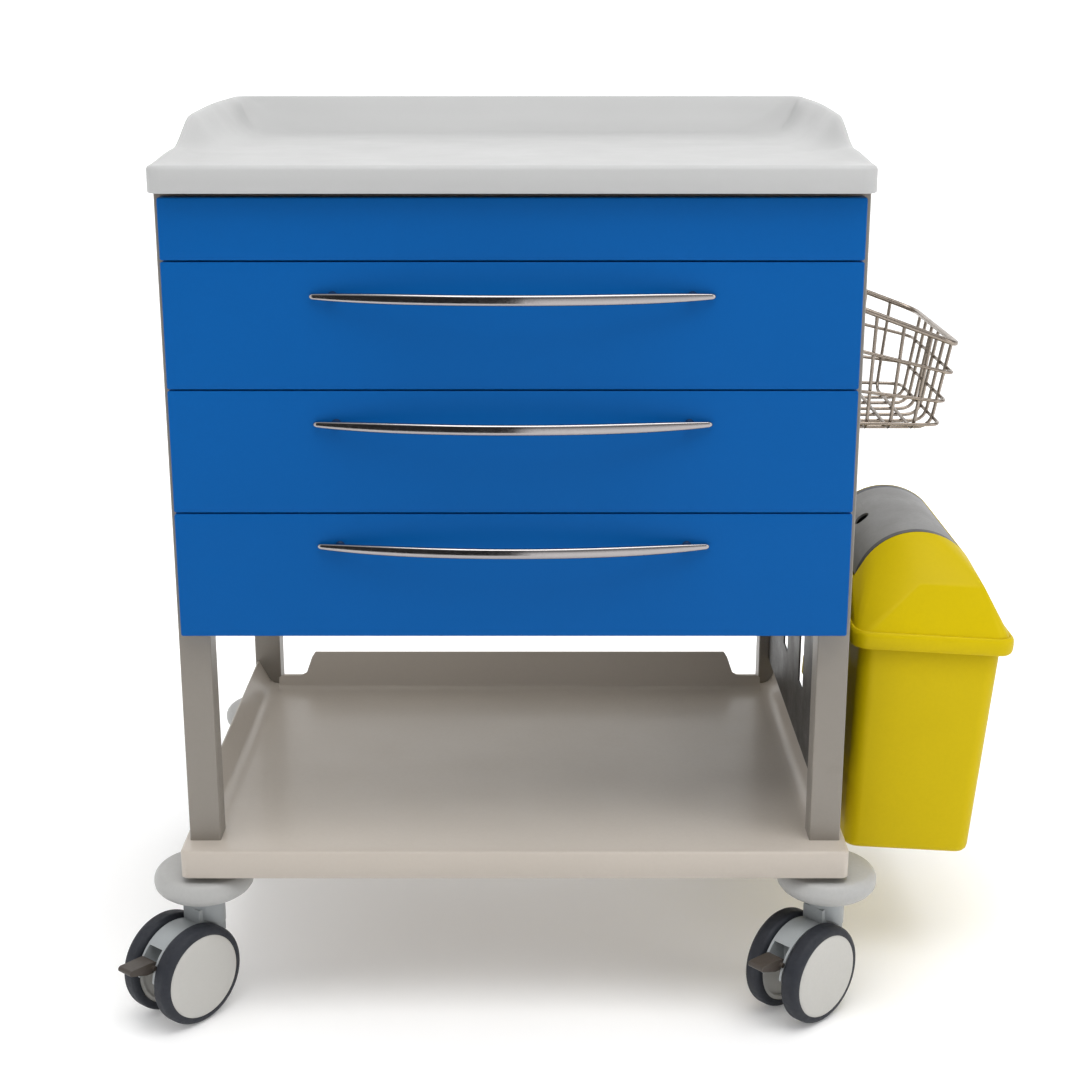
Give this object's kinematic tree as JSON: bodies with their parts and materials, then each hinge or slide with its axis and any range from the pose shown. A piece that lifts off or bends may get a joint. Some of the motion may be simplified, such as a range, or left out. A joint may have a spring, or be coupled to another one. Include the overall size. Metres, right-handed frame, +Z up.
{
  "type": "nursing trolley with drawers",
  "caption": "Wheeled ward trolley with a rimmed worktop, pull-out drawers with bow handles, a low shelf, a side wire basket and a lidded waste bin.",
  "frame": {"origin": "on the floor, under the middle of the whole trolley with its bin and basket", "axes": "+Z up, +Y from the drawer fronts to the back, +X to the side that carries the basket and the bin"},
  "size_m": [0.8839, 0.5743, 0.87],
  "materials": {
    "worktop_abs": "one-piece moulded ABS, soft gloss",
    "core_board": "raw particle board",
    "blue_front": "blue epoxy powder coat, fine texture",
    "panel_paint": "light grey epoxy powder coat",
    "drawer_paint": "light grey epoxy powder coat",
    "frame_paint": "warm grey epoxy powder coat",
    "shelf_enamel": "off-white gloss powder coat",
    "screw_steel": "zinc plated",
    "handle_chrome": "polished chrome plate",
    "slide_zinc": "bright zinc plate",
    "caster_steel": "turned steel",
    "bumper_plastic": "grey polyamide, fine texture",
    "hood_plastic": "light grey polyamide",
    "tyre_rubber": "dark blue-grey thermoplastic rubber",
    "wheel_plastic": "light grey polyamide",
    "pedal_plastic": "dark polyamide",
    "basket_wire": "electropolished stainless wire",
    "bin_yellow": "moulded polypropylene, semi gloss",
    "flap_plastic": "grey polypropylene",
    "carrier_paint": "dark grey powder coat"
  },
  "bodies": {
    "frame": {"worktop": "worktop_abs", "worktop_core": "core_board", "top_frame": "frame_paint", "top_fascia": "blue_front", "side_panel_left": "panel_paint", "side_panel_right": "panel_paint", "back_panel": "panel_paint", "cabinet_floor": "panel_paint", "leg_front_left": "frame_paint", "leg_front_right": "frame_paint", "leg_rear_left": "frame_paint", "leg_rear_right": "frame_paint", "shelf": "shelf_enamel", "slide_outer_rails": "slide_zinc", "caster_stems": "caster_steel", "caster_bumpers": "bumper_plastic", "wire_basket": "basket_wire", "basket_screws": "screw_steel", "bin_carrier": "carrier_paint"},
    "drawer_bottom": {"drawer_front_bottom": "blue_front", "drawer_box_bottom": "drawer_paint", "handle_bottom": "handle_chrome", "handle_screws_bottom": "screw_steel", "slide_inner_rails_bottom": "slide_zinc"},
    "slide_bottom": {"slide_middle_rails_bottom": "slide_zinc"},
    "drawer_middle": {"drawer_front_middle": "blue_front", "drawer_box_middle": "drawer_paint", "handle_middle": "handle_chrome", "handle_screws_middle": "screw_steel", "slide_inner_rails_middle": "slide_zinc"},
    "slide_middle": {"slide_middle_rails_middle": "slide_zinc"},
    "drawer_top": {"drawer_front_top": "blue_front", "drawer_box_top": "drawer_paint", "handle_top": "handle_chrome", "handle_screws_top": "screw_steel", "slide_inner_rails_top": "slide_zinc"},
    "slide_top": {"slide_middle_rails_top": "slide_zinc"},
    "caster_front_left": {"caster_hood_front_left": "hood_plastic", "caster_axle_front_left": "caster_steel"},
    "wheels_front_left": {"tyres_front_left": "tyre_rubber", "wheel_discs_front_left": "wheel_plastic"},
    "brake_front_left": {"brake_pedal_front_left": "pedal_plastic"},
    "caster_front_right": {"caster_hood_front_right": "hood_plastic", "caster_axle_front_right": "caster_steel"},
    "wheels_front_right": {"tyres_front_right": "tyre_rubber", "wheel_discs_front_right": "wheel_plastic"},
    "brake_front_right": {"brake_pedal_front_right": "pedal_plastic"},
    "caster_rear_left": {"caster_hood_rear_left": "hood_plastic", "caster_axle_rear_left": "caster_steel"},
    "wheels_rear_left": {"tyres_rear_left": "tyre_rubber", "wheel_discs_rear_left": "wheel_plastic"},
    "brake_rear_left": {"brake_pedal_rear_left": "pedal_plastic"},
    "caster_rear_right": {"caster_hood_rear_right": "hood_plastic", "caster_axle_rear_right": "caster_steel"},
    "wheels_rear_right": {"tyres_rear_right": "tyre_rubber", "wheel_discs_rear_right": "wheel_plastic"},
    "brake_rear_right": {"brake_pedal_rear_right": "pedal_plastic"},
    "bin": {"bin_body": "bin_yellow"},
    "bin_hood": {"bin_hood": "bin_yellow"},
    "bin_flap": {"bin_flap": "flap_plastic"}
  },
  "joints": [
    {"name": "drawer_bottom_slide", "type": "slide", "parent": "frame", "child": "drawer_bottom", "axis": [0, -1, 0], "range_m": [0, 0.4]},
    {"name": "middle_rails_bottom_slide", "type": "slide", "parent": "frame", "child": "slide_bottom", "axis": [0, -1, 0], "range_m": [0, 0.2]},
    {"name": "drawer_middle_slide", "type": "slide", "parent": "frame", "child": "drawer_middle", "axis": [0, -1, 0], "range_m": [0, 0.4]},
    {"name": "middle_rails_middle_slide", "type": "slide", "parent": "frame", "child": "slide_middle", "axis": [0, -1, 0], "range_m": [0, 0.2]},
    {"name": "drawer_top_slide", "type": "slide", "parent": "frame", "child": "drawer_top", "axis": [0, -1, 0], "range_m": [0, 0.4]},
    {"name": "middle_rails_top_slide", "type": "slide", "parent": "frame", "child": "slide_top", "axis": [0, -1, 0], "range_m": [0, 0.2]},
    {"name": "caster_front_left_swivel", "type": "hinge", "parent": "frame", "child": "caster_front_left", "pos_m": [-0.362, -0.2, 0.1], "axis": [0, 0, 1], "continuous": true},
    {"name": "wheels_front_left_roll", "type": "hinge", "parent": "caster_front_left", "child": "wheels_front_left", "pos_m": [-0.3834, -0.22642, 0.05], "axis": [0.7771, -0.6293, 0], "continuous": true},
    {"name": "brake_front_left_press", "type": "hinge", "parent": "caster_front_left", "child": "brake_front_left", "pos_m": [-0.41046, -0.25984, 0.07], "axis": [0.7771, -0.6293, 0], "range_deg": [0, 14]},
    {"name": "caster_front_right_swivel", "type": "hinge", "parent": "frame", "child": "caster_front_right", "pos_m": [0.256, -0.2, 0.1], "axis": [0, 0, 1], "continuous": true},
    {"name": "wheels_front_right_roll", "type": "hinge", "parent": "caster_front_right", "child": "wheels_front_right", "pos_m": [0.23113, -0.22319, 0.05], "axis": [0.682, -0.7314, 0], "continuous": true},
    {"name": "brake_front_right_press", "type": "hinge", "parent": "caster_front_right", "child": "brake_front_right", "pos_m": [0.19969, -0.25251, 0.07], "axis": [0.682, -0.7314, 0], "range_deg": [0, 14]},
    {"name": "caster_rear_left_swivel", "type": "hinge", "parent": "frame", "child": "caster_rear_left", "pos_m": [-0.362, 0.238, 0.1], "axis": [0, 0, 1], "continuous": true},
    {"name": "wheels_rear_left_roll", "type": "hinge", "parent": "caster_rear_left", "child": "wheels_rear_left", "pos_m": [-0.38562, 0.21354, 0.05], "axis": [0.7193, -0.6947, 0], "continuous": true},
    {"name": "brake_rear_left_press", "type": "hinge", "parent": "caster_rear_left", "child": "brake_rear_left", "pos_m": [-0.41549, 0.18261, 0.07], "axis": [0.7193, -0.6947, 0], "range_deg": [0, 14]},
    {"name": "caster_rear_right_swivel", "type": "hinge", "parent": "frame", "child": "caster_rear_right", "pos_m": [0.256, 0.238, 0.1], "axis": [0, 0, 1], "continuous": true},
    {"name": "wheels_rear_right_roll", "type": "hinge", "parent": "caster_rear_right", "child": "wheels_rear_right", "pos_m": [0.22958, 0.2166, 0.05], "axis": [0.6293, -0.7771, 0], "continuous": true},
    {"name": "brake_rear_right_press", "type": "hinge", "parent": "caster_rear_right", "child": "brake_rear_right", "pos_m": [0.19616, 0.18954, 0.07], "axis": [0.6293, -0.7771, 0], "range_deg": [0, 14]},
    {"name": "bin_lift_off", "type": "slide", "parent": "frame", "child": "bin", "axis": [0, 0, 1], "range_m": [0, 0.035]},
    {"name": "bin_hood_lift_off", "type": "slide", "parent": "bin", "child": "bin_hood", "axis": [0.0593, 0, 0.9982], "range_m": [0, 0.05]},
    {"name": "bin_flap_swing", "type": "hinge", "parent": "bin_hood", "child": "bin_flap", "pos_m": [0.35361, 0.019, 0.39386], "axis": [0, 1, 0], "range_deg": [-55, 0]}
  ],
  "couplings": [
    {"joint": "middle_rails_bottom_slide", "follows": "drawer_bottom_slide", "ratio": 0.5},
    {"joint": "middle_rails_middle_slide", "follows": "drawer_middle_slide", "ratio": 0.5},
    {"joint": "middle_rails_top_slide", "follows": "drawer_top_slide", "ratio": 0.5}
  ]
}
